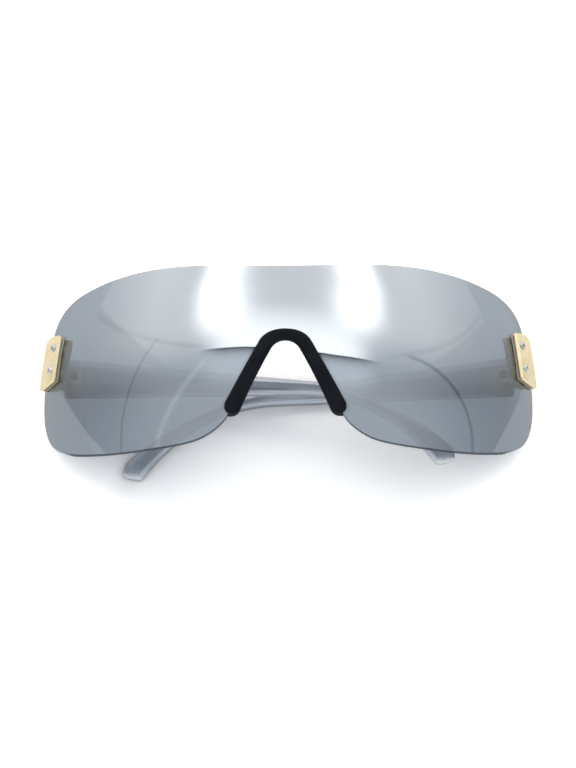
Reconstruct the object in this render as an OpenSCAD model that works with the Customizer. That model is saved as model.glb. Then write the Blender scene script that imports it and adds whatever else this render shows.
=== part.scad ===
// Shield sunglasses, lying on their back on the folded temples with the lens up.
// +X runs along the lens, +Y points to the brow edge and +Z up. Z = 0 is the table,
// and the origin is the middle of the footprint. Right and left are the wearer's, so
// the right side is at -X. Lens coordinates start at the lens's foremost point, the
// datum, with z along the lens's axis. Millimetres.

/* [Lens] */
// Full width of the lens seen from the front
lens_w = 143.8; // [138:0.2:150]
// Crest of the brow edge above the datum
lens_up = 27.1; // [25.5:0.1:29]
// Lower edge below the datum
lens_down = 25.9; // [24.5:0.1:28]
// Depth of the lens's curve, from its middle to its ends
lens_depth = 38; // [35:0.5:41]
// Thickness of the lens
lens_t = 2; // [1.6:0.1:2.4]
// Tilt of the lens against the temples
lens_tilt = 6; // [4:0.5:9]

/* [Nose notch] */
// Top of the notch above the datum
notch_top = 3.7; // [2.5:0.1:4.5]
// Radius of the notch's arch
notch_r = 6.1; // [5.4:0.1:8]
// Lean of the notch's legs from upright
notch_lean = 29.2; // [26:0.2:32]
// Lower end of the legs below the datum
notch_foot = 18.4; // [17:0.1:20]

/* [Nose pad] */
// Reach of the front lip over the lens, on the legs
pad_lip = 2.2; // [1.6:0.1:2.8]
// Reach of the rear wing behind the lens, on the legs
pad_wing = 3.2; // [2.4:0.1:4.5]
// Wall inside the lens's cut edge, over the arch
pad_wall = 1.6; // [1.2:0.1:2]
// The same wall at the legs' lower ends
pad_wall_low = 2.5; // [1.6:0.1:3]
// Thickness of the front lip
pad_lip_t = 0.9; // [0.7:0.1:1.4]
// Thickness of the rear wing
pad_wing_t = 1.2; // [0.9:0.1:1.8]
// Length of the rounded foot at each leg's end
pad_foot = 2.4; // [1.6:0.1:3]

/* [Side plates] */
// Screw line in from the lens's widest point, seen from the front
screw_inset = 3.9; // [3.4:0.05:4.6]
// Middle of the screws above the datum
plate_y = 5.6; // [3:0.1:8]
// Spacing of the two screws
screw_pitch = 6.8; // [6:0.1:7.6]
// Plate in front of the screw line
plate_front = 2.6; // [2.3:0.1:3.2]
// Plate behind the screw line
plate_back = 5.4; // [5.2:0.1:6]
// Plate above the middle of the screws
plate_up = 7.3; // [6.4:0.1:8.4]
// Plate below the middle of the screws
plate_down = 9; // [8:0.1:10]
// Slanted cut at the plate's lower front corner, across the plate
plate_cut_across = 5.9; // [4.5:0.1:6.2]
// The same cut, along the plate's front edge
plate_cut_up = 2.3; // [1.6:0.1:3]
// Thickness of the plate
plate_t = 1.3; // [1.1:0.1:1.6]
// Width of the bevel round the plate's face
plate_bevel = 0.7; // [0.4:0.05:0.9]
// Lean of the plate along the lens's edge
plate_lean = 7; // [5:0.5:9]
// Thickness of the clear gasket under the plate
gasket_t = 0.4; // [0.3:0.05:0.6]

/* [Plate screws] */
// Diameter of the shank
screw_d = 1.6; // [1.4:0.1:1.8]
// Diameter of the head
screw_head_d = 2.5; // [2.3:0.1:2.8]
// Height of the head
screw_head_h = 0.9; // [0.7:0.05:1.1]
// Outer diameter of the sleeve in the lens
sleeve_d = 2.8; // [2.6:0.1:3.2]

/* [Hinge] */
// Radius of the knuckles
knuckle_r = 1.4; // [1.2:0.05:1.6]
// Length of the temple's middle knuckle
knuckle_mid = 3.4; // [2.8:0.1:4]
// Length of each bracket knuckle
knuckle_end = 2.8; // [2.4:0.1:3.4]
// Diameter of the hinge screw
pin_d = 1.4; // [1.2:0.05:1.5]
// Axis inside the screw line, seen from the front
hinge_inset = 0.65; // [0.3:0.05:1.1]
// Middle of the hinge below the middle of the screws
hinge_low = 1; // [0:0.1:1.6]
// Axis to the temple's inner face
hinge_offset = 1.7; // [1.7:0.05:2]
// Plate's screw line above the axis
hinge_drop = 8.9; // [8.5:0.1:9.7]
// Thickness of the bracket's inner plate
bracket_t = 1.2; // [1:0.1:1.5]

/* [Temples] */
// Hinge axis to the end of the temple
temple_len = 117.5; // [107:0.5:125]
// Drop of the ear bend's end below the hinge
temple_drop = 33; // [29:0.2:36]
// Height at the hinge
temple_h = 12.2; // [11:0.1:13]
// Height where the ear bend begins
waist_h = 4.4; // [4:0.1:6]
// Height of the slim neck in the ear bend
neck_h = 2.8; // [2.4:0.1:4]
// Height of the ear piece at its end
tip_h = 6.8; // [5.6:0.1:8]
// Thickness of the temples
temple_t = 3.5; // [3.3:0.1:4]
// Crown of the inner face above its long edges
temple_crown = 0.9; // [0.4:0.1:1.2]
// Hinge axis to the temple's near end
temple_start = 0.5; // [0.2:0.05:0.9]
// Extra fold of the right temple, which lies on the left one
right_fold = 7; // [5:0.1:8]

/* [Temple leaf] */
// Length from the hinge axis
leaf_len = 6; // [5.5:0.1:8]
// Height of the leaf
leaf_h = 5; // [4.4:0.1:6]
// Thickness of the leaf
leaf_t = 1; // [0.9:0.05:1.2]
// Depth of its pocket in the temple
leaf_sink = 0.5; // [0.4:0.05:0.6]
// Diameter of the leaf screw's head
leaf_head_d = 2.4; // [2:0.1:2.8]
// Diameter of the leaf screw's shank
leaf_screw_d = 1.4; // [1.2:0.1:1.6]

/* [Hidden] */
$fn = 96;

// Clearances and small sizes
seat_gap = 0.03;       // between faces that are clamped together
run_gap = 0.04;        // radial, where the temple turns on its screw
side_gap = 0.06;       // between neighbouring knuckles
pad_gap = 0.15;        // the pad's groove round the lens
rim_gap = 0.3;         // the plate's end flange round the lens's rim
over = 1;              // overrun of cuts
flange_down = 1.8;     // the flange below the lens's outer face
gasket_inset = 0.2;    // the gasket inside the plate's edge
plate_top_across = 2.4; // slanted cut at the plate's upper rear corner, across the plate
plate_top_up = 1.4;     // the same cut, along the plate's rear edge
plate_corner_r = 0.9;
plate_foot_share = 0.45; // rounding of the foot's rear corner, of the foot's width
bracket_inset = 0.5;   // the bracket's inner plate inside the outer plate
screw_reach = 2.2;     // the plate screw past the lens's inner face
screw_sink = 0.45;     // the counterbore under a screw head
drive_d = 1.2;         // the hexagon in a screw head
drive_depth = 0.45;
web_gap = 0.4;         // from the temple's knuckle to the bracket's web
leaf_neck = 1.7;       // from the axis to where the leaf widens
leaf_screw_u = 3.4;    // leaf screw from the axis
leaf_screw_len = 2.4;  // its shank in the temple, under the leaf
leaf_head_h = 0.5;
leaf_corner_r = 0.9;
pin_head_h = 0.7;
pin_head_share = 1.44;
pin_slot_share = 0.24;
leaf_drive_share = 0.7;
front_y = -2.2;        // the datum from the middle of the footprint

// Places worked out from the sizes
half_w = lens_w/2;
lens_r = (half_w*half_w + lens_depth*lens_depth)/(2*lens_depth);
plate_x = half_w - screw_inset;
plate_pitch = asin(plate_y/lens_r);
plate_yaw = asin(plate_x/(lens_r*cos(plate_pitch)));
plate_depth = lens_r - sqrt(lens_r*lens_r - plate_x*plate_x - plate_y*plate_y);
hinge_x = plate_x - hinge_inset;
hinge_z = hinge_offset + temple_t;
apex_z = hinge_z + hinge_drop - plate_y*sin(lens_tilt) + plate_depth*cos(lens_tilt);
hinge_y = front_y + (plate_y - hinge_low)*cos(lens_tilt) + plate_depth*sin(lens_tilt);
hinge_w = knuckle_mid + 2*side_gap + 2*knuckle_end;
pin_head_d = pin_head_share*pin_d;

// Outline of the lens, as shares of its half width and of its heights
brow_shares = [[0, 0.915], [0.209, 0.915], [0.362, 1], [0.542, 1]];
temple_brow_shares = [[0.542, 1], [0.654, 1], [0.758, 0.967], [0.834, 0.908]];
upper_corner_shares = [[0.834, 0.908], [0.911, 0.849], [0.953, 0.72], [0.966, 0.498]];
side_shares = [[0.966, 0.498], [0.983, 0.221], [1, -0.055], [1, -0.295]];
lower_corner_shares = [[1, -0.295], [1, -0.554], [0.98, -0.755], [0.918, -0.842]];
cheek_shares = [[0.918, -0.842], [0.841, -0.94], [0.709, -1], [0.584, -1]];
nose_side_shares = [[0.584, -1], [0.5, -1], [0.417, -0.994], [0.362, -0.962]];
nose_corner_share = 0.066;
foot_corner_share = 0.16;
side_out_share = 1.12;

function scaled(p) = [p.x*half_w, p.y*(p.y > 0 ? lens_up : lens_down)];
function bezier(c, t) = pow(1 - t, 3)*c[0] + 3*t*pow(1 - t, 2)*c[1]
    + 3*t*t*(1 - t)*c[2] + pow(t, 3)*c[3];
function curve(c, n) = [for (i = [1:n]) bezier(c, i/n)];
function lens_curve(shares, n) = curve([for (p = shares) scaled(p)], n);
function mirrored(pts) = [for (i = [len(pts) - 1:-1:0]) [-pts[i].x, pts[i].y]];
function unit(v) = v/norm(v);
function smooth(t) = t*t*(3 - 2*t);

// The notch: an arch of notch_r, then straight legs that leave it as tangents
notch_mid = notch_top - notch_r;
leg_dir = [sin(notch_lean), -cos(notch_lean)];
leg_top = [notch_r*cos(notch_lean), notch_mid + notch_r*sin(notch_lean)];
leg_len = (notch_foot + leg_top.y)/cos(notch_lean);
leg_end = leg_top + leg_len*leg_dir;
nose_start = scaled(nose_side_shares[3]);
nose_corner = [
    nose_start,
    nose_start + nose_corner_share*half_w*unit(nose_start - scaled(nose_side_shares[2])),
    leg_end + foot_corner_share*notch_foot*leg_dir,
    leg_end
];

// Front prism: all of the outline but the rounded sides, which run out straight
side_out = half_w*side_out_share;
brow_run = lens_curve(temple_brow_shares, 6);
cheek_run = lens_curve(cheek_shares, 7);
function run_out(a, b) = b + (b - a)*((side_out - b.x)/(b.x - a.x));
half_front = concat(
    [scaled(brow_shares[0])],
    lens_curve(brow_shares, 7),
    [for (i = [0:len(brow_run) - 2]) brow_run[i]],
    [run_out(brow_run[len(brow_run) - 2], brow_run[len(brow_run) - 1])],
    [run_out(cheek_run[0], scaled(cheek_shares[0]))],
    cheek_run,
    lens_curve(nose_side_shares, 4),
    curve(nose_corner, 8),
    [for (i = [0:10]) let (a = notch_lean + (90 - notch_lean)*i/10)
        [notch_r*cos(a), notch_mid + notch_r*sin(a)]]
);

// Side prisms: the rounded sides, seen square to the lens at the plates
function to_plate(p) = let (
        z = sqrt(lens_r*lens_r - p.x*p.x - p.y*p.y),
        x1 = p.x*cos(plate_yaw) - z*sin(plate_yaw),
        z1 = p.x*sin(plate_yaw) + z*cos(plate_yaw),
        y1 = p.y*cos(plate_pitch) - z1*sin(plate_pitch)
    ) [x1*cos(plate_lean) + y1*sin(plate_lean), y1*cos(plate_lean) - x1*sin(plate_lean)];
rim_curve = [for (p = concat(
    [scaled(upper_corner_shares[0])],
    lens_curve(upper_corner_shares, 9),
    lens_curve(side_shares, 5),
    lens_curve(lower_corner_shares, 10)
)) to_plate(p)];
rim_last = len(rim_curve) - 1;
trim_reach = 2*lens_w;
rim_outline = concat(
    [rim_curve[0] + trim_reach*unit(rim_curve[0] - rim_curve[1])],
    [for (i = [1:rim_last - 1]) rim_curve[i]],
    [rim_curve[rim_last] + trim_reach*unit(rim_curve[rim_last] - rim_curve[rim_last - 1])]
);

// Corner b between a and c, rounded to radius r
function corner(a, b, c, r, n) = let (
        u = unit(a - b),
        v = unit(c - b),
        half = acos(u*v)/2,
        m = b + unit(u + v)*r/sin(half),
        p = b + u*r/tan(half) - m,
        q = b + v*r/tan(half) - m,
        a0 = atan2(p.y, p.x),
        da = (atan2(q.y, q.x) - a0 + 540) % 360 - 180
    ) [for (i = [0:n]) m + r*[cos(a0 + da*i/n), sin(a0 + da*i/n)]];
function rounded(pts, radii, n) = let (k = len(pts))
    [for (i = [0:k - 1]) each corner(pts[(i + k - 1) % k], pts[i], pts[(i + 1) % k], radii[i], n)];
function inset(pts, d) = let (k = len(pts)) [for (i = [0:k - 1]) let (
        u = unit(pts[i] - pts[(i + k - 1) % k]),
        v = unit(pts[(i + 1) % k] - pts[i])
    ) pts[i] + d*([-u.y, u.x] + [-v.y, v.x])/(1 + u*v)];

// Side plate, counterclockwise from the lower front corner
plate_corners = [
    [-plate_front, plate_cut_up - plate_down],
    [plate_cut_across - plate_front, -plate_down],
    [plate_back, -plate_down],
    [plate_back, plate_up - plate_top_up],
    [plate_back - plate_top_across, plate_up],
    [-plate_front, plate_up]
];
plate_foot_r = plate_foot_share*(plate_front + plate_back - plate_cut_across);
plate_radii = [plate_corner_r, plate_corner_r, plate_foot_r, plate_corner_r, plate_corner_r, plate_corner_r];
screw_places = [[0, -screw_pitch/2], [0, screw_pitch/2]];

module on_side(s) {
    if (s < 0) {
        mirror([1, 0, 0]) children();
    } else {
        children();
    }
}
module lens_space() {
    translate([0, front_y, apex_z]) rotate([lens_tilt, 0, 0]) children();
}
module plate_space() {
    lens_space() translate([0, 0, -lens_r]) rotate([0, plate_yaw, 0]) rotate([-plate_pitch, 0, 0])
        translate([0, 0, lens_r]) rotate([0, 0, plate_lean]) children();
}
// Temple coordinates: x along the temple, y up on the face, z to the wearer's head
module temple_space(s, fold) {
    on_side(-s) translate([-hinge_x, hinge_y, hinge_z]) rotate([0, -fold, 0]) children();
}

// A sphere about the lens's centre with its poles off the lens, and a shell of it
module ball(r) {
    translate([0, 0, -lens_r]) rotate([90, 0, 0]) sphere(r, $fn = 160);
}
module shell(r_out, r_in) {
    difference() {
        ball(r_out);
        ball(r_in);
    }
}
module prism(pts, down, up) {
    translate([0, 0, -down]) linear_extrude(down + up) polygon(pts);
}
module at_screws() {
    for (p = screw_places) translate([p.x, p.y, 0]) children();
}

module shield_lens() {
    color([0.72, 0.78, 0.82]) difference() {
        intersection() {
            lens_space() shell(lens_r, lens_r - lens_t);
            lens_space() prism(concat(half_front, mirrored(half_front)), lens_r - over, over);
            plate_space() prism(rim_outline, 2*lens_r, over + lens_t);
            on_side(-1) plate_space() prism(rim_outline, 2*lens_r, over + lens_t);
        }
        for (s = [-1, 1]) on_side(s) plate_space() at_screws()
            translate([0, 0, -lens_t - over]) cylinder(d = sleeve_d + 2*seat_gap, h = lens_t + 2*over);
    }
}

// Nose pad: a channel swept round the notch, its lips lying on the lens's two faces.
// A section point is [reach of a lip, share of the wall, share of the way from rear to
// front, height over that face].
pad_lip_shares = [[1, 0.35], [0.84, 0.9], [0.35, 1]];
pad_wall_shares = [[0.45, 0.8], [0.92, 0.05]];
pad_wing_shares = [[0.21, 1], [0.8, 0.75], [1, 0.3]];
groove_lip_shares = [0.93, 0.8, 0.3];
groove_depth_shares = [0.8, 0.5, 0.2];
groove_wing_shares = [0.18, 0.8, 0.96];
pad_outer = concat(
    [for (p = pad_lip_shares) [p.x*pad_lip, 0, 1, pad_gap + p.y*pad_lip_t]],
    [for (p = pad_wall_shares) [0, p.x, 1, pad_gap + p.y*pad_lip_t]],
    [[0, 1, 0.5, 0]],
    [for (i = [1, 0]) let (p = pad_wall_shares[i]) [0, p.x, 0, pad_gap + p.y*pad_wing_t]],
    [for (p = pad_wing_shares) [p.x*pad_wing, 0, 0, pad_gap + p.y*pad_wing_t]]
);
pad_inner = concat(
    [for (f = groove_lip_shares) [f*pad_lip, 0, 1, pad_gap]],
    [[-pad_gap, 0, 1, pad_gap]],
    [for (f = groove_depth_shares) [-pad_gap, 0, f, 0]],
    [[-pad_gap, 0, 0, pad_gap]],
    [for (f = groove_wing_shares) [f*pad_wing, 0, 0, pad_gap]]
);
pad_loop = concat(pad_outer, [for (i = [len(pad_inner) - 1:-1:0]) pad_inner[i]]);
// Path stations: [point on the lens's cut edge, outward direction, share of the lips, wall]
leg_steps = 7;
foot_steps = 5;
arch_steps = 9;
pad_arch_share = 0.62;
pad_leg_len = leg_len - pad_foot;
function leg_wall(d) = pad_wall + (pad_wall_low - pad_wall)*pow(min(1, d/pad_leg_len), 2);
function leg_station(d, k) = [leg_top + d*leg_dir, [cos(notch_lean), sin(notch_lean)], k, k*leg_wall(d)];
half_path = concat(
    [for (i = [foot_steps:-1:1]) let (f = sin(i*82/foot_steps))
        leg_station(pad_leg_len + f*pad_foot, sqrt(1 - f*f))],
    [for (i = [leg_steps:-1:1]) leg_station(pad_leg_len*i/leg_steps, 1)],
    [for (i = [0:arch_steps - 1]) let (a = notch_lean + (90 - notch_lean)*i/arch_steps)
        [[notch_r*cos(a), notch_mid + notch_r*sin(a)], [cos(a), sin(a)],
            1 - (1 - pad_arch_share)*smooth(i/arch_steps), pad_wall]]
);
pad_path = concat(
    half_path,
    [[[0, notch_top], [0, 1], pad_arch_share, pad_wall]],
    [for (i = [len(half_path) - 1:-1:0]) let (h = half_path[i])
        [[-h[0].x, h[0].y], [-h[1].x, h[1].y], h[2], h[3]]]
);
function on_sphere(r, p) = sqrt(r*r - p.x*p.x - p.y*p.y) - lens_r;
function pad_point(st, c) = let (
        wall = c[1]*max(0, st[3] - pad_gap) + (c[1] > 0 ? pad_gap : 0),
        reach = c[0]*(c[0] > 0 ? st[2] : 1) - wall,
        p = st[0] + reach*st[1],
        front = on_sphere(lens_r, p),
        rear = on_sphere(lens_r - lens_t, p),
        lift = c[3]*(c[2] == 1 ? 1 : c[2] == 0 ? -1 : 0)
    ) [p.x, p.y, rear + (front - rear)*c[2] + lift];

module nose_pad() {
    n = len(pad_loop);
    k = len(pad_inner);
    m = len(pad_path);
    pts = [for (st = pad_path) each [for (c = pad_loop) pad_point(st, c)]];
    sides = [for (i = [0:m - 2]) for (j = [0:n - 1]) let (
            a = i*n + j,
            b = i*n + (j + 1) % n,
            c = b + n,
            d = a + n
        ) each [[a, b, c], [a, c, d]]];
    caps = [for (j = [0:k - 2]) each [
        [j, n - 1 - j, j + 1],
        [j + 1, n - 1 - j, n - 2 - j]
    ]];
    last = (m - 1)*n;
    color([0.09, 0.11, 0.14]) lens_space() polyhedron(
        points = pts,
        faces = concat(
            sides,
            caps,
            [for (f = caps) [last + f[0], last + f[2], last + f[1]]]
        )
    );
}

// A slanted cut along each side of the plate's face
module face_bevels(pts, top) {
    k = len(pts);
    for (i = [0:k - 1]) {
        a = pts[i];
        b = pts[(i + 1) % k];
        translate([a.x, a.y, top - plate_bevel]) rotate([0, 0, atan2(b.y - a.y, b.x - a.x)])
            rotate([-45, 0, 0]) translate([-over, -3*over, 0])
                cube([norm(b - a) + 2*over, 3*over, 3*over]);
    }
}

module outer_plate(s) {
    low = gasket_t + seat_gap;
    color([0.90, 0.82, 0.62]) on_side(s) plate_space() difference() {
        union() {
            intersection() {
                shell(lens_r + low + plate_t, lens_r + low);
                prism(rounded(plate_corners, plate_radii, 6), 2*plate_t, low + 2*plate_t);
            }
            difference() {
                intersection() {
                    shell(lens_r + low + plate_t/2, lens_r - flange_down);
                    prism(rounded(plate_corners, plate_radii, 6), flange_down + plate_t, low + plate_t);
                }
                translate([rim_gap, 0, 0]) prism(rim_outline, 2*lens_r, low + seat_gap);
            }
        }
        face_bevels(plate_corners, low + plate_t);
        at_screws() translate([0, 0, -over]) cylinder(d = screw_d + 2*seat_gap, h = low + plate_t + 2*over);
        at_screws() translate([0, 0, low + plate_t - screw_sink])
            cylinder(d = screw_head_d + 2*seat_gap, h = screw_sink + over);
    }
}

module plate_gasket(s) {
    color([0.86, 0.87, 0.86]) on_side(s) plate_space() difference() {
        intersection() {
            shell(lens_r + gasket_t, lens_r + seat_gap);
            prism(rounded(inset(plate_corners, gasket_inset), plate_radii, 4), 2*gasket_t, 2*gasket_t);
            translate([-gasket_inset, 0, 0]) prism(rim_outline, 2*lens_r, 2*gasket_t);
        }
        at_screws() translate([0, 0, -over]) cylinder(d = screw_d + 2*seat_gap, h = gasket_t + 2*over);
    }
}

module plate_screws(s) {
    seat = gasket_t + seat_gap + plate_t - screw_sink;
    dome_r = screw_head_d;
    color([0.80, 0.81, 0.82]) on_side(s) plate_space() at_screws() difference() {
        union() {
            translate([0, 0, -lens_t - screw_reach])
                cylinder(d = screw_d, h = lens_t + screw_reach + seat + seat_gap + screw_head_h/2);
            intersection() {
                translate([0, 0, seat + seat_gap]) cylinder(d = screw_head_d, h = screw_head_h);
                translate([0, 0, seat + seat_gap + screw_head_h - dome_r]) sphere(dome_r);
            }
        }
        translate([0, 0, seat + seat_gap + screw_head_h - drive_depth])
            cylinder(d = drive_d, h = drive_depth + over, $fn = 6);
    }
}

module lens_sleeves(s) {
    color([0.35, 0.36, 0.38]) on_side(s) plate_space() intersection() {
        shell(lens_r, lens_r - lens_t);
        at_screws() translate([0, 0, -lens_t - over]) difference() {
            cylinder(d = sleeve_d, h = lens_t + 2*over);
            translate([0, 0, -over]) cylinder(d = screw_d + 2*seat_gap, h = lens_t + 4*over);
        }
    }
}

// Bracket behind the lens: an inner plate, a block down to the hinge and two knuckles
module hinge_bracket(s) {
    top_r = lens_r - lens_t - seat_gap;
    slot_w = knuckle_mid + 2*side_gap;
    slot_top = knuckle_r + web_gap;
    color([0.88, 0.80, 0.60]) on_side(s) difference() {
        union() {
            plate_space() intersection() {
                shell(top_r, top_r - bracket_t);
                prism(rounded(inset(plate_corners, bracket_inset), plate_radii, 4),
                    lens_t + 2*bracket_t, 0);
                prism(rim_outline, 2*lens_r, 0);
            }
            intersection() {
                translate([hinge_x - knuckle_r, hinge_y - hinge_w/2, hinge_z])
                    cube([2*knuckle_r, hinge_w, 2*hinge_drop]);
                lens_space() ball(top_r - bracket_t/2);
            }
            translate([hinge_x, hinge_y + hinge_w/2, hinge_z]) rotate([90, 0, 0])
                cylinder(r = knuckle_r, h = hinge_w);
        }
        translate([hinge_x - knuckle_r - over, hinge_y - slot_w/2, hinge_z - knuckle_r - over])
            cube([2*knuckle_r + 2*over, slot_w, knuckle_r + over + slot_top]);
        translate([hinge_x, hinge_y + hinge_w/2 + over, hinge_z]) rotate([90, 0, 0])
            cylinder(d = pin_d + 2*seat_gap, h = hinge_w + 2*over);
        translate([hinge_x, hinge_y + hinge_w/2 + over, hinge_z]) rotate([90, 0, 0])
            cylinder(d = pin_head_d + 2*seat_gap, h = pin_head_h + over);
        plate_space() at_screws() translate([0, 0, -lens_t - screw_reach - seat_gap])
            cylinder(d = screw_d + 2*seat_gap, h = screw_reach + lens_t + over);
    }
}

module hinge_screw(s) {
    slot_w = pin_slot_share*pin_d;
    color([0.78, 0.79, 0.80]) on_side(s)
        translate([hinge_x, hinge_y + hinge_w/2, hinge_z]) rotate([90, 0, 0]) difference() {
            union() {
                cylinder(d = pin_d, h = hinge_w);
                cylinder(d = pin_head_d, h = pin_head_h - seat_gap);
            }
            translate([-pin_head_d, -slot_w/2, -over]) cube([2*pin_head_d, slot_w, over + pin_head_h/2]);
        }
}

// Temple: rings along a spine that runs straight, then bends down behind the ear
bend_shares = [[0.62, 0.203], [0.74, 0.242], [0.886, 0.572], [0.957, 0.885]];
bend = [for (p = bend_shares) [p.x*temple_len, -p.y*temple_drop]];
ring_count = 20;
straight_steps = 8;
bend_steps = 14;
cap_steps = 6;
cap_turn = 25;         // slant of the ear piece's end
cap_len_share = 0.43;
neck_share = 0.4;
edge_r = 1;
edge_share = 0.3;
bend_dir = unit(bend[3] - bend[2]);
straight_dir = unit(bend[0]);
function tangent(t) = unit(bezier(bend, min(1, t + 0.01)) - bezier(bend, max(0, t - 0.01)));
function turned(v, a) = [v.x*cos(a) + v.y*sin(a), v.y*cos(a) - v.x*sin(a)];
// Height along the bend: down to the neck, then up to the ear piece
function bend_h(t) = t < neck_share
    ? waist_h + (neck_h - waist_h)*smooth(t/neck_share)
    : neck_h + (tip_h - neck_h)*pow((t - neck_share)/(1 - neck_share), 1.2);
// Stations: [point, direction, half height, half thickness]
temple_stations = concat(
    [[temple_start*straight_dir, straight_dir, temple_h/2 - edge_r, temple_t/2 - edge_r]],
    [[(temple_start + edge_share*edge_r)*straight_dir, straight_dir, temple_h/2 - edge_share*edge_r,
        temple_t/2 - edge_share*edge_r]],
    [[(temple_start + edge_r)*straight_dir, straight_dir, temple_h/2, temple_t/2]],
    [for (i = [1:straight_steps]) let (f = i/(straight_steps + 1))
        [f*bend[0], straight_dir, (temple_h + (waist_h - temple_h)*f)/2, temple_t/2]],
    [for (i = [0:bend_steps]) let (t = i/bend_steps)
        [bezier(bend, t), t == 0 ? straight_dir : t == 1 ? bend_dir : tangent(t),
            bend_h(t)/2, temple_t/2]],
    [for (i = [1:cap_steps]) let (a = i*82/cap_steps)
        [bend[3] + turned(bend_dir, cap_turn/2)*sin(a)*cap_len_share*tip_h,
            turned(bend_dir, cap_turn*sin(a)), pow(cos(a), 0.55)*tip_h/2,
            temple_t/2*pow(cos(a), 0.5)]]
);
// Section: a rounded oblong with a flat land on its outer face and a crowned inner face
land_share = 1.08;
crown_share = 2*temple_crown/temple_t;
function rounding(v) = sign(v)*pow(abs(v), 0.62);
function ring(st) = let (n = [-st[1].y, st[1].x]) [for (j = [0:ring_count - 1]) let (
        a = (j + 0.5)*360/ring_count,
        f = rounding(cos(a)),
        h = st[2]*f,
        flat = st[3]*max(-1, min(1, land_share*rounding(sin(a)))),
        w = flat > 0 ? flat*(1 - crown_share*f*f) : flat
    ) [st[0].x + h*n.x, st[0].y + h*n.y, w - hinge_offset - temple_t/2]];

module temple_body() {
    m = len(temple_stations);
    pts = [for (st = temple_stations) each ring(st)];
    last = (m - 1)*ring_count;
    polyhedron(points = pts, faces = concat(
        [for (i = [0:m - 2]) for (j = [0:ring_count - 1]) let (
                a = i*ring_count + j,
                b = i*ring_count + (j + 1) % ring_count
            ) each [[a, b, b + ring_count], [a, b + ring_count, a + ring_count]]],
        [for (j = [1:ring_count - 2]) [0, j + 1, j]],
        [for (j = [1:ring_count - 2]) [last, last + j, last + j + 1]]
    ));
}

leaf_low = -hinge_offset - leaf_sink;
module temple(s, fold) {
    color([0.70, 0.72, 0.74]) temple_space(s, fold) difference() {
        temple_body();
        translate([temple_start - over, -leaf_h/2 - seat_gap, leaf_low])
            cube([over - temple_start + leaf_len + seat_gap, leaf_h + 2*seat_gap, leaf_sink + over]);
        translate([leaf_screw_u, 0, leaf_low - leaf_screw_len - seat_gap])
            cylinder(d = leaf_screw_d + 2*seat_gap, h = leaf_screw_len + over);
    }
}

module temple_leaf(s, fold) {
    low = leaf_low + seat_gap;
    tongue = [
        [leaf_neck, -leaf_h/2],
        [leaf_len, -leaf_h/2],
        [leaf_len, leaf_h/2],
        [leaf_neck, leaf_h/2]
    ];
    color([0.80, 0.76, 0.66]) temple_space(s, fold) difference() {
        union() {
            rotate([90, 0, 0]) translate([0, 0, -knuckle_mid/2]) cylinder(r = knuckle_r, h = knuckle_mid);
            translate([0, -knuckle_mid/2, low]) cube([leaf_neck + leaf_corner_r, knuckle_mid, leaf_t]);
            translate([0, 0, low]) linear_extrude(leaf_t)
                polygon(rounded(tongue, [for (p = tongue) leaf_corner_r], 5));
        }
        rotate([90, 0, 0]) translate([0, 0, -knuckle_mid/2 - over])
            cylinder(d = pin_d + 2*run_gap, h = knuckle_mid + 2*over);
        translate([leaf_screw_u, 0, low - over]) cylinder(d = leaf_screw_d + 2*seat_gap, h = leaf_t + 2*over);
    }
}

module leaf_screw(s, fold) {
    seat = leaf_low + seat_gap + leaf_t + seat_gap;
    color([0.25, 0.26, 0.28]) temple_space(s, fold) translate([leaf_screw_u, 0, 0]) difference() {
        union() {
            translate([0, 0, leaf_low - leaf_screw_len])
                cylinder(d = leaf_screw_d, h = leaf_screw_len + seat - leaf_low + leaf_head_h/2);
            translate([0, 0, seat]) cylinder(d = leaf_head_d, h = leaf_head_h);
        }
        translate([0, 0, seat + leaf_head_h/2])
            cylinder(d = leaf_drive_share*leaf_screw_d, h = over, $fn = 6);
    }
}

shield_lens();
nose_pad();
outer_plate(-1);  // right_outer_plate
outer_plate(1);  // left_outer_plate
plate_gasket(-1);  // right_plate_gasket
plate_gasket(1);  // left_plate_gasket
plate_screws(-1);  // right_plate_screws
plate_screws(1);  // left_plate_screws
lens_sleeves(-1);  // right_lens_sleeves
lens_sleeves(1);  // left_lens_sleeves
hinge_bracket(-1);  // right_hinge_bracket
hinge_bracket(1);  // left_hinge_bracket
hinge_screw(-1);  // right_hinge_screw
hinge_screw(1);  // left_hinge_screw
temple(-1, right_fold);  // right_temple
temple(1, 0);  // left_temple
temple_leaf(-1, right_fold);  // right_temple_leaf
temple_leaf(1, 0);  // left_temple_leaf
leaf_screw(-1, right_fold);  // right_leaf_screw
leaf_screw(1, 0);  // left_leaf_screw
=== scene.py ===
"""Shield sunglasses on a pale table, lens up, in a plain soft studio. Lengths are in metres."""
import math
from collections import namedtuple

import bpy
from mathutils import Matrix, Vector


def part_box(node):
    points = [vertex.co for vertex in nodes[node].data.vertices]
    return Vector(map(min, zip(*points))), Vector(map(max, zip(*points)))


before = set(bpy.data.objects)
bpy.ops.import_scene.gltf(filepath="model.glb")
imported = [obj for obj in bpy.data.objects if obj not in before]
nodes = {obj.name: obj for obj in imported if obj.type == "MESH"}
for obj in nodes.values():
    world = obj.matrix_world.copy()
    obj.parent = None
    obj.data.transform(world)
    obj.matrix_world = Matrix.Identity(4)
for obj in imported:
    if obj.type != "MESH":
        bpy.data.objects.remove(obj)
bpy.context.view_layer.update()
SIDES = ("right", "left")

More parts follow.
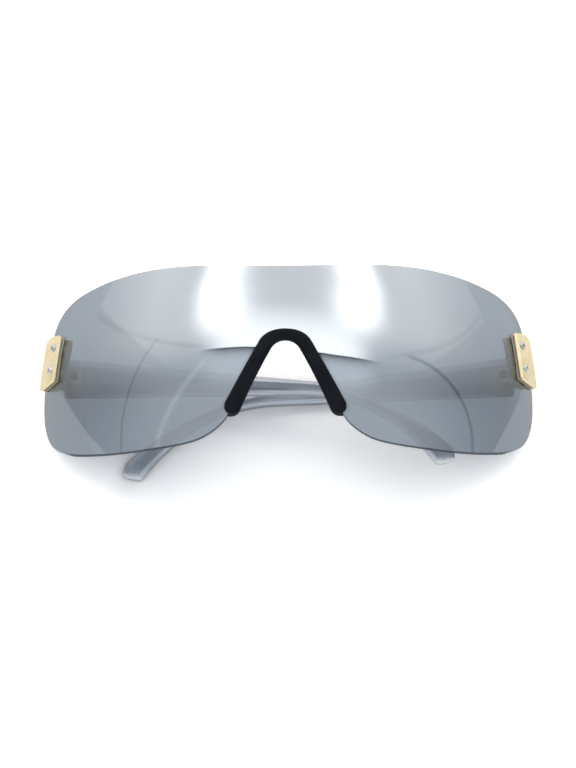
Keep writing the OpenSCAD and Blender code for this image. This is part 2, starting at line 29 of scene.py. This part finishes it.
# The lens is part of a sphere, given by its width and by how far its ends lie below its top
LENS_WIDTH = 0.1438
LENS_DEPTH = 0.038
LENS_RADIUS = ((LENS_WIDTH/2)**2 + LENS_DEPTH**2)/(2*LENS_DEPTH)
LENS_THICKNESS = 0.002
LENS_TILT = math.radians(6)
DATUM_Y = -0.0022
lens_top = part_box("shield_lens")[1].z
LENS_CENTRE = Vector((0, DATUM_Y + LENS_RADIUS*math.sin(LENS_TILT), lens_top - LENS_RADIUS))

# Camera: above the table on the chin side, turned a little, as fitted to the lens's outline
IMAGE_W, IMAGE_H = 576, 768
CAMERA_ELEVATION = math.radians(68)
CAMERA_AZIMUTH = math.radians(3)
CAMERA_ROLL = math.radians(-3.1)
CAMERA_DISTANCE = 0.6
FOCAL_PX = 2124
TARGET = Vector((0, DATUM_Y, 0.036))
TARGET_PX = (285.9, 360)
SENSOR_MM = 36
CLIP_START = 0.01


def make_camera():
    """Camera that shows the target at TARGET_PX, by a small lens shift."""
    back = Vector((
        math.sin(CAMERA_AZIMUTH)*math.cos(CAMERA_ELEVATION),
        -math.cos(CAMERA_AZIMUTH)*math.cos(CAMERA_ELEVATION),
        math.sin(CAMERA_ELEVATION),
    ))
    level = Vector((math.cos(CAMERA_AZIMUTH), math.sin(CAMERA_AZIMUTH), 0))
    above = back.cross(level)
    right = level*math.cos(CAMERA_ROLL) + above*math.sin(CAMERA_ROLL)
    up = back.cross(right)
    data = bpy.data.cameras.new("camera")
    data.sensor_width = SENSOR_MM
    data.lens = FOCAL_PX/IMAGE_H*SENSOR_MM
    data.shift_x = (IMAGE_W/2 - TARGET_PX[0])/IMAGE_H
    data.shift_y = (TARGET_PX[1] - IMAGE_H/2)/IMAGE_H
    data.clip_start = CLIP_START
    camera = bpy.data.objects.new("camera", data)
    turn = Matrix((right, up, back)).transposed().to_4x4()
    camera.matrix_world = Matrix.Translation(TARGET + back*CAMERA_DISTANCE) @ turn
    bpy.context.scene.collection.objects.link(camera)
    bpy.context.scene.camera = camera


class Tree:
    """A material's or world's node tree, with short calls to add and join nodes."""

    def __init__(self, block):
        block.use_nodes = True
        self.tree = block.node_tree
        self.tree.nodes.clear()

    def add(self, kind, **inputs):
        node = self.tree.nodes.new(kind)
        for name, value in inputs.items():
            self.put(node.inputs[name.replace("_", " ")], value)
        return node

    def put(self, socket, value):
        if isinstance(value, bpy.types.NodeSocket):
            self.tree.links.new(value, socket)
        else:
            socket.default_value = value

    def math(self, kind, a, b=0.0, c=0.0):
        node = self.tree.nodes.new("ShaderNodeMath")
        node.operation = kind
        for socket, value in zip(node.inputs, (a, b, c)):
            self.put(socket, value)
        return node.outputs[0]

    def vector(self, kind, a, b=(0, 0, 0)):
        node = self.tree.nodes.new("ShaderNodeVectorMath")
        node.operation = kind
        self.put(node.inputs[0], a)
        self.put(node.inputs[1], b)
        return node.outputs["Value" if kind in ("LENGTH", "DOT_PRODUCT") else "Vector"]

    def step(self, value, low, high, to_low=0.0, to_high=1.0):
        """to_low below low and to_high above high, with a smooth change between."""
        node = self.add("ShaderNodeMapRange", Value=value, From_Min=low, From_Max=high,
                        To_Min=to_low, To_Max=to_high)
        node.interpolation_type = "SMOOTHSTEP"
        return node.outputs[0]

    def by_side(self, x, right, left, blend):
        """One number on the wearer's right, where x is negative, and another on the left."""
        return self.step(x, -blend, blend, right, left)

    def lerp(self, share, a, b):
        """The number that lies the given share of the way from a to b."""
        return self.math("MULTIPLY_ADD", share, self.math("SUBTRACT", b, a), a)

    def bell(self, value, width):
        """1 where value is 0, falling off on both sides."""
        share = self.math("DIVIDE", value, width)
        square = self.math("MULTIPLY", share, share)
        return self.math("EXPONENT", self.math("MULTIPLY", square, -1))

    def product(self, first, *others):
        for other in others:
            first = self.math("MULTIPLY", first, other)
        return first

    def grey(self, tone):
        return self.add("ShaderNodeCombineXYZ", X=tone, Y=tone, Z=tone).outputs[0]

    def mix(self, share, a, b):
        """The colour that lies the given share of the way from a to b."""
        node = self.add("ShaderNodeMix", Factor=share)
        node.data_type = "RGBA"
        colour_a, colour_b = [socket for socket in node.inputs if socket.type == "RGBA"]
        self.put(colour_a, a)
        self.put(colour_b, b)
        return [socket for socket in node.outputs if socket.type == "RGBA"][0]

    def noise(self, place, scale, detail=2.0):
        node = self.add("ShaderNodeTexNoise", Vector=place, Scale=scale, Detail=detail)
        return node.outputs["Fac"]

    def bump(self, height, strength, distance):
        node = self.add("ShaderNodeBump", Height=height, Strength=strength, Distance=distance)
        return node.outputs["Normal"]

    def place(self):
        return self.add("ShaderNodeTexCoord").outputs["Object"]

    def split(self, vector):
        return self.add("ShaderNodeSeparateXYZ", Vector=vector).outputs

    def principled(self, **inputs):
        return self.add("ShaderNodeBsdfPrincipled", **inputs).outputs[0]

    def transparent(self, colour):
        return self.add("ShaderNodeBsdfTransparent", Color=colour).outputs[0]

    def blend(self, share, a, b):
        """Two shaders mixed: a where share is 0 and b where it is 1."""
        node = self.add("ShaderNodeMixShader")
        for socket, value in zip(node.inputs, (share, a, b)):
            self.put(socket, value)
        return node.outputs[0]

    def surface(self, socket):
        out = self.add("ShaderNodeOutputMaterial")
        self.tree.links.new(socket, out.inputs["Surface"])


def rgb(r, g, b):
    """A colour given as it looks on screen, from 0 to 255, in the linear scale of the shaders."""
    linear = [c/255/12.92 if c <= 10 else ((c/255 + 0.055)/1.055)**2.4 for c in (r, g, b)]
    return (*linear, 1)


# The mirror coating is densest in the middle of the lens and thins out to its ends
MIRROR_MIDDLE = 0.56
MIRROR_ENDS = 0.24
MIRROR_FADE = (0.026, 0.062)
MIRROR_COLOUR = (0.82, 0.87, 0.92, 1)
SMEAR_SCALE = 90
TINT = (0.187, 0.23, 0.285, 1)
INNER_GLOSS = 0.06
RIM_TINT = (0.3, 0.34, 0.38, 1)
RIM_GLOSS = 0.4


def outer_face(t, place):
    """Half-mirror coating with faint smears."""
    across = t.math("ABSOLUTE", t.split(place)["X"])
    coating = t.step(across, *MIRROR_FADE, MIRROR_MIDDLE, MIRROR_ENDS)
    smear = t.noise(place, SMEAR_SCALE, detail=3)
    rough = t.step(smear, 0.45, 0.8, to_low=0.004, to_high=0.012)
    mirror = t.principled(Base_Color=MIRROR_COLOUR, Metallic=1.0, Roughness=rough)
    return t.blend(coating, t.transparent((1, 1, 1, 1)), mirror)


def inner_face(t):
    """Bare polycarbonate, which holds the lens's grey tint."""
    gloss = t.principled(Base_Color=rgb(24, 28, 34), Roughness=0.05)
    return t.blend(INNER_GLOSS, t.transparent(TINT), gloss)


def rim(t):
    """Polished cut edge."""
    gloss = t.principled(Base_Color=rgb(98, 105, 114), Roughness=0.15)
    return t.blend(RIM_GLOSS, t.transparent(RIM_TINT), gloss)


def lens_material():
    """Grey polycarbonate with a half-mirror on its outer face and a polished rim.

    The faces are told from the rim by their normals, which point along the sphere's spokes, and the
    outer face from the inner one by its distance from the sphere's centre.
    """
    material = bpy.data.materials.new("silver_mirror_lens")
    t = Tree(material)
    place = t.place()
    spoke = t.vector("SUBTRACT", place, tuple(LENS_CENTRE))
    normal = t.add("ShaderNodeTexCoord").outputs["Normal"]
    facing = t.vector("DOT_PRODUCT", t.vector("NORMALIZE", spoke), normal)
    face = t.step(t.math("ABSOLUTE", facing), 0.6, 0.75)
    middle = LENS_RADIUS - LENS_THICKNESS/2
    change = LENS_THICKNESS/10
    outer = t.step(t.vector("LENGTH", spoke), middle - change, middle + change)
    faces = t.blend(outer, inner_face(t), outer_face(t, place))
    t.surface(t.blend(face, rim(t), faces))
    return material


def rubber_material():
    """Matt blue-black rubber with a fine moulded grain."""
    material = bpy.data.materials.new("pad_rubber")
    t = Tree(material)
    place = t.place()
    grain = t.noise(place, scale=5200)
    cloud = t.noise(place, scale=160)
    colour = t.mix(t.step(cloud, 0.35, 0.7), rgb(13, 17, 23), rgb(21, 26, 33))
    rough = t.step(cloud, 0.3, 0.7, to_low=0.5, to_high=0.62)
    t.surface(t.principled(Base_Color=colour, Roughness=rough, Specular_IOR_Level=0.1,
                           Normal=t.bump(grain, strength=0.25, distance=0.00004)))
    return material


def metal_material(name, dark, light, rough, brush=(1, 1, 1), depth=0.06):
    """Plated metal: two close tones in soft clouds, and fine lines that brush squeezes on an axis."""
    material = bpy.data.materials.new(name)
    t = Tree(material)
    place = t.place()
    cloud = t.noise(place, scale=350)
    lines = t.noise(t.vector("MULTIPLY", place, brush), scale=4000)
    colour = t.mix(t.step(cloud, 0.35, 0.65), rgb(*dark), rgb(*light))
    gloss = t.step(lines, 0.3, 0.7, to_low=rough*0.8, to_high=rough*1.25)
    t.surface(t.principled(Base_Color=colour, Metallic=1.0, Roughness=gloss,
                           Normal=t.bump(lines, strength=depth, distance=0.00002)))
    return material


# Painted highlight: the temples' tips are painted paler at their very ends, given by Y with the
# temples folded
TIP_HIGHLIGHT_FADE = (-0.026, -0.022)
TIP_HIGHLIGHT_SHARE = 0.75
SPARKLE_SHARE = 0.3


def temple_material():
    """Silver-grey pearl lacquer under a clear coat, with a painted highlight at the tips' ends."""
    material = bpy.data.materials.new("pearl_temple")
    t = Tree(material)
    place = t.place()
    flakes = t.add("ShaderNodeTexVoronoi", Vector=place, Scale=6500.0)
    sparkle = t.step(flakes.outputs["Color"], 0.35, 0.9)
    cloud = t.noise(place, scale=60)
    tone = t.mix(t.step(cloud, 0.3, 0.7), rgb(182, 188, 198), rgb(196, 202, 212))
    colour = t.mix(t.math("MULTIPLY", sparkle, SPARKLE_SHARE), tone, rgb(218, 223, 230))
    # Painted highlight: the tips' very ends turn paler
    tip = t.step(t.split(place)["Y"], *TIP_HIGHLIGHT_FADE, to_low=TIP_HIGHLIGHT_SHARE, to_high=0)
    colour = t.mix(tip, colour, rgb(238, 240, 243))
    t.surface(t.principled(Base_Color=colour, Metallic=0.5, Roughness=0.3, Coat_Weight=1.0,
                           Coat_Roughness=0.05,
                           Normal=t.bump(sparkle, strength=0.04, distance=0.00002)))
    return material


def plastic_material(name, dark, light, rough, alpha=1.0):
    """Moulded plastic with a faint cloudiness."""
    material = bpy.data.materials.new(name)
    t = Tree(material)
    cloud = t.noise(t.place(), scale=500, detail=3)
    colour = t.mix(t.step(cloud, 0.3, 0.7), rgb(*dark), rgb(*light))
    t.surface(t.principled(Base_Color=colour, Roughness=rough, Alpha=alpha,
                           Normal=t.bump(cloud, strength=0.05, distance=0.00003)))
    return material


def dress(names, material, smooth):
    """Gives CAD nodes a material, and smooth shading up to an angle in degrees."""
    for name in names:
        node = nodes[name]
        node.data.materials.clear()
        node.data.materials.append(material)
        for face in node.data.polygons:
            face.use_smooth = True
        split = node.modifiers.new("sharp_edges", "EDGE_SPLIT")
        split.split_angle = math.radians(smooth)


# Brushed metal: its fine lines lie close to each other along Y
BRUSH = (1, 12, 1)


def dress_all():
    gold = metal_material("polished_gold", (246, 230, 186), (251, 238, 200), 0.22, depth=0.02)
    satin = metal_material("satin_gold", (226, 208, 162), (238, 222, 178), 0.3, BRUSH)
    steel = metal_material("polished_steel", (205, 207, 210), (226, 228, 231), 0.14)
    nickel = metal_material("satin_nickel", (214, 215, 216), (230, 231, 232), 0.25, BRUSH)
    black = metal_material("blackened_steel", (52, 53, 56), (70, 71, 74), 0.35)
    sleeve = plastic_material("grey_sleeve", (52, 55, 58), (64, 67, 70), 0.5)
    clear = plastic_material("clear_gasket", (222, 214, 190), (236, 230, 208), 0.3, 0.85)
    dress(["shield_lens"], lens_material(), 25)
    dress(["nose_pad"], rubber_material(), 50)
    for kind, material in (
        ("outer_plate", gold), ("plate_gasket", clear), ("plate_screws", steel),
        ("lens_sleeves", sleeve), ("hinge_bracket", satin), ("hinge_screw", steel),
        ("temple_leaf", nickel), ("leaf_screw", black),
    ):
        dress([f"{side}_{kind}" for side in SIDES], material, 30)
    dress([f"{side}_temple" for side in SIDES], temple_material(), 50)


# The room: tones, where 1 is white, and the colours of its light
FRONT_TONE = 0.58
BACK_TONE = 1.02
COOL_FRONT = (0.955, 1.0, 1.055, 1)
WARM_BACK = (1.01, 0.995, 0.975, 1)
# The front tone turns into the back tone where a direction's y grows through this range
ROOM_TURN = (0.02, 0.38)

# A bright patch low in front lies below a line that leans to the front on both sides: on the room's
# wall it is light, and on the far table it is painted light
BRIGHT_TONE = 0.95
BRIGHT_LEAN_RIGHT = 0.046
BRIGHT_LEAN_LEFT = 0.3
BRIGHT_START_RIGHT = 0.0165
BRIGHT_START_LEFT = 0.04
BRIGHT_BLUR = 0.003
BRIGHT_RISE = 0.85
BRIGHT_WALL_BLUR = 0.02
MIDDLE_BLEND = 0.01

# The table: its tone as it lights the object, as mirrored, as seen, and as seen through the lens
TABLE_HALF = 3.0
TABLE_LIT = 0.9
TABLE_MIRRORED = 0.95
TABLE_SEEN = 2.0
TABLE_THROUGH = 0.8
# Painted light: where the camera sees the table through the lens it glows by this much, which lifts
# the shade under the lens
TABLE_PAINTED_GLOW = 0.4
TABLE_TINT = (1.0, 0.98, 0.955)
# Painted shade: ambient occlusion darkens the table within this reach of the pieces, taking away up
# to this share of its tone
CORNER_REACH = 0.04
CORNER_SHADE = 0.7
# Between these distances the mirrored table takes the room's tone, painted on it as light and shade
TABLE_REACH = (0.1, 0.125)


def bright_line(t, x, y):
    """How far a place or direction lies behind the bright patch's slanted line through 0."""
    lean = t.by_side(x, BRIGHT_LEAN_RIGHT, BRIGHT_LEAN_LEFT, MIDDLE_BLEND)
    return t.math("MULTIPLY_ADD", lean, t.math("ABSOLUTE", x), y)


def keep_below(table, side):
    """Keeps the table under a temple's tip, so that it makes room as the temple opens."""
    temple = nodes[f"{side}_temple"]
    away = 1 if side == "right" else -1
    tip = bpy.data.objects.new(f"{side}_tip_mark", None)
    tip.parent = temple
    tip.location = max(temple.data.vertices, key=lambda v: away*v.co.x).co
    bpy.context.scene.collection.objects.link(tip)
    limit = table.constraints.new("FLOOR")
    limit.target = tip
    limit.floor_location = "FLOOR_NEGATIVE_Z"


def room_tone_painted_on_table(t, x, y, reach):
    """Painted light and shade on the far table: the tone that it takes from the room behind it, with
    the bright patch.
    """
    room = t.step(t.math("DIVIDE", y, reach), *ROOM_TURN, FRONT_TONE, BACK_TONE)
    start = t.by_side(x, BRIGHT_START_RIGHT, BRIGHT_START_LEFT, MIDDLE_BLEND)
    line = t.math("SUBTRACT", bright_line(t, x, y), start)
    bright = t.step(line, -BRIGHT_BLUR, BRIGHT_BLUR, 1, 0)
    return t.lerp(bright, room, BRIGHT_TONE)


def near_table(t, ray, through):
    """The tone of the table round the object, with painted shade where pieces come near it."""
    shown = t.math("MAXIMUM", ray["Is Glossy Ray"], ray["Is Transmission Ray"])
    tone = t.math("MULTIPLY_ADD", shown, TABLE_MIRRORED - TABLE_LIT, TABLE_LIT)
    tone = t.math("MULTIPLY_ADD", ray["Is Camera Ray"], TABLE_SEEN - TABLE_LIT, tone)
    # Painted shade from ambient occlusion, darkest where pieces touch the table
    open_share = t.add("ShaderNodeAmbientOcclusion", Distance=CORNER_REACH).outputs["AO"]
    shade = t.math("MULTIPLY_ADD", open_share, CORNER_SHADE, 1 - CORNER_SHADE)
    tone = t.math("MULTIPLY", tone, shade)
    return t.lerp(through, tone, TABLE_THROUGH)


def table_material():
    """White table. Far from the object it takes the tone of the room that it runs into, painted on it
    as light and shade. Near the object it has painted shade, and seen through the lens a painted
    glow.
    """
    material = bpy.data.materials.new("white_table")
    t = Tree(material)
    ray = t.add("ShaderNodeLightPath").outputs
    through_lens = t.math("MINIMUM", ray["Transparent Depth"], 1)
    through = t.math("MULTIPLY", ray["Is Camera Ray"], through_lens)
    place = t.place()
    x, y, _ = t.split(place)
    reach = t.vector("LENGTH", place)
    near = t.math("MAXIMUM", t.step(reach, *TABLE_REACH, 1, 0), ray["Is Camera Ray"])
    tone = t.lerp(near, room_tone_painted_on_table(t, x, y, reach), near_table(t, ray, through))
    colour = t.vector("MULTIPLY", t.grey(tone), TABLE_TINT)
    paint = t.add("ShaderNodeBsdfDiffuse", Color=colour)
    # Painted light: a glow on the table where the camera sees it through the lens
    glow = t.add("ShaderNodeEmission", Strength=t.math("MULTIPLY", through, TABLE_PAINTED_GLOW))
    both = t.add("ShaderNodeAddShader")
    t.put(both.inputs[0], paint.outputs[0])
    t.put(both.inputs[1], glow.outputs[0])
    t.surface(both.outputs[0])
    return material


def make_table():
    mesh = bpy.data.meshes.new("floor")
    corners = [(-1, -1), (1, -1), (1, 1), (-1, 1)]
    mesh.from_pydata([(x*TABLE_HALF, y*TABLE_HALF, 0) for x, y in corners], [], [(0, 1, 2, 3)])
    table = bpy.data.objects.new("floor", mesh)
    bpy.context.scene.collection.objects.link(table)
    for side in SIDES:
        keep_below(table, side)
    mesh.materials.append(table_material())


# Directions in the room. Places on the ceiling are given as u and v, across and away from the
# camera, for a ceiling that lies 1 above the object, and off is u without its sign.
Sky = namedtuple("Sky", "way x y z u v off")
LOWEST = 0.02

# The light panel's front edge lies at a v that falls with u down to EDGE_NEAREST. Between these
# values of off the panel and the gap before it fade into the room.
EDGE_MIDDLE = 0.168
EDGE_SLANT = 0.1
EDGE_NEAREST = 0.137
EDGE_BLUR = (-0.004, 0.006)
PANEL_ENDS = (0.45, 0.8)
GAP_FALL = 24
FRONT_GAIN = 0.34
FRONT_GAIN_REACH = (-0.4, -0.06)

# The glow along the panel's edge
GLOW_TONE = 0.95
GLOW_REACH = (0.05, 0.44)
GLOW_ENDS = (0.3, 0.85)

# The two soft boxes, which lean outwards as v grows up to BOX_LEAN_END
BOX_TONE = 2.4
BOX_OFF_RIGHT = 0.43
BOX_OFF_LEFT = 0.46
BOX_OFF_BLEND = 0.2
BOX_LEAN = 0.18
BOX_LEAN_END = 0.9
BOX_WIDTH = 0.14*math.sqrt(2)
BOX_NEAR_END = (0.25, 0.65)
BOX_FAR_END = (1.3, 1.8)

# The walls behind are lighter far out, and darker beyond a slanted edge on each side
WALL_GAIN = 0.16
WALL_GAIN_REACH = (0.7, 1.8)
WING_TONE = 0.84
WING_RISE = 1.85
WING_SLANT_RIGHT = 1.22
WING_SLANT_LEFT = 1.02
WING_SIDE_BLEND = 0.1
WING_BLUR = 0.03

# Thin lines in the room, each of which runs round an axis at an angle to it. The axis has a heading
# from +X and a height, all in degrees. The line's tone comes in along x, from fade_from to fade_to.
Line = namedtuple("Line", "heading height angle width tone fade_from fade_to")
LINES = (
    Line(90, 20.5, 61, 0.014, -0.14, -0.4, -0.55),
    Line(80, 27, 54, 0.014, -0.14, 0.6, 0.75),
    Line(-91, 60.5, 70, 0.008, -0.2, -0.72, -0.8),
    Line(-63, 37.5, 76.5, 0.02, 0.14, -0.45, -0.6),
    Line(-37, 38, 39, 0.008, -0.3, 0.7, 0.76),
)


def thin_lines(t, sky):
    """The tone that the room's thin lines add in a direction."""
    total = 0.0
    for line in LINES:
        heading, height = math.radians(line.heading), math.radians(line.height)
        axis = (math.cos(heading)*math.cos(height), math.sin(heading)*math.cos(height),
                math.sin(height))
        along = t.vector("DOT_PRODUCT", sky.way, axis)
        away = t.math("SUBTRACT", along, math.cos(math.radians(line.angle)))
        (low, low_tone), (high, high_tone) = sorted(((line.fade_from, 0), (line.fade_to, line.tone)))
        tone = t.step(sky.x, low, high, low_tone, high_tone)
        total = t.math("MULTIPLY_ADD", t.bell(away, line.width), tone, total)
    return total


def read_sky(t):
    way = t.add("ShaderNodeTexCoord").outputs["Generated"]
    x, y, z = t.split(way)
    above = t.math("MAXIMUM", z, LOWEST)
    u = t.math("DIVIDE", x, above)
    v = t.math("DIVIDE", y, above)
    return Sky(way, x, y, z, u, v, t.math("ABSOLUTE", u))


def front_tone(t, sky, edge, outside):
    """The room before the panel: brighter towards the panel, with a dark gap along its edge."""
    gap = t.math("EXPONENT", t.math("MULTIPLY", t.math("MINIMUM", edge, 0), GAP_FALL))
    gap = t.math("MULTIPLY", gap, t.math("SUBTRACT", 1, outside))
    front = t.step(edge, *FRONT_GAIN_REACH, FRONT_TONE, FRONT_TONE + FRONT_GAIN)
    front = t.math("SUBTRACT", t.lerp(outside, front, FRONT_TONE), gap)
    low = t.math("MULTIPLY_ADD", bright_line(t, sky.x, sky.y), BRIGHT_RISE, sky.z)
    bright = t.step(low, -BRIGHT_WALL_BLUR, BRIGHT_WALL_BLUR, 1, 0)
    return t.lerp(bright, front, BRIGHT_TONE)


def soft_boxes(t, sky):
    middle = t.by_side(sky.u, BOX_OFF_RIGHT, BOX_OFF_LEFT, BOX_OFF_BLEND)
    middle = t.math("MULTIPLY_ADD", t.math("MINIMUM", sky.v, BOX_LEAN_END), BOX_LEAN, middle)
    box = t.bell(t.math("SUBTRACT", sky.off, middle), BOX_WIDTH)
    ends = t.step(sky.v, *BOX_NEAR_END), t.step(sky.v, *BOX_FAR_END, 1, 0)
    return t.product(box, *ends, BOX_TONE)


def back_walls(t, sky):
    walls = t.step(sky.off, *WALL_GAIN_REACH, BACK_TONE, BACK_TONE + WALL_GAIN)
    slant = t.by_side(sky.x, WING_SLANT_RIGHT, WING_SLANT_LEFT, WING_SIDE_BLEND)
    slant = t.math("MULTIPLY", slant, t.math("ABSOLUTE", sky.x))
    wing = t.math("SUBTRACT", t.math("MULTIPLY_ADD", sky.y, WING_RISE, sky.z), slant)
    return t.math("MULTIPLY", walls, t.step(wing, -WING_BLUR, WING_BLUR, WING_TONE, 1))


def back_tone(t, sky, edge):
    """The panel and the room behind, with the glow along the panel's edge and the soft boxes."""
    glow = t.product(t.step(edge, *GLOW_REACH, GLOW_TONE, 0), t.step(sky.off, *GLOW_ENDS, 1, 0))
    lights = t.math("ADD", glow, soft_boxes(t, sky))
    return t.math("ADD", back_walls(t, sky), lights)


def make_studio():
    """World: a pale room, darker on the camera's side, under a light panel and two soft boxes."""
    world = bpy.data.worlds.new("studio")
    bpy.context.scene.world = world
    t = Tree(world)
    sky = read_sky(t)
    slanted = t.math("MULTIPLY_ADD", sky.u, EDGE_SLANT, -EDGE_MIDDLE)
    edge = t.math("ADD", sky.v, t.math("MINIMUM", slanted, -EDGE_NEAREST))
    outside = t.step(sky.off, *PANEL_ENDS)
    behind = t.lerp(outside, t.step(edge, *EDGE_BLUR), t.step(sky.y, *ROOM_TURN))
    tone = t.lerp(behind, front_tone(t, sky, edge, outside), back_tone(t, sky, edge))
    tone = t.math("ADD", tone, thin_lines(t, sky))
    light = t.add("ShaderNodeBackground", Color=t.mix(behind, COOL_FRONT, WARM_BACK), Strength=tone)
    out = t.add("ShaderNodeOutputWorld")
    t.tree.links.new(light.outputs[0], out.inputs["Surface"])


make_camera()
dress_all()
make_table()
make_studio()
bpy.context.scene.view_settings.view_transform = "Standard"
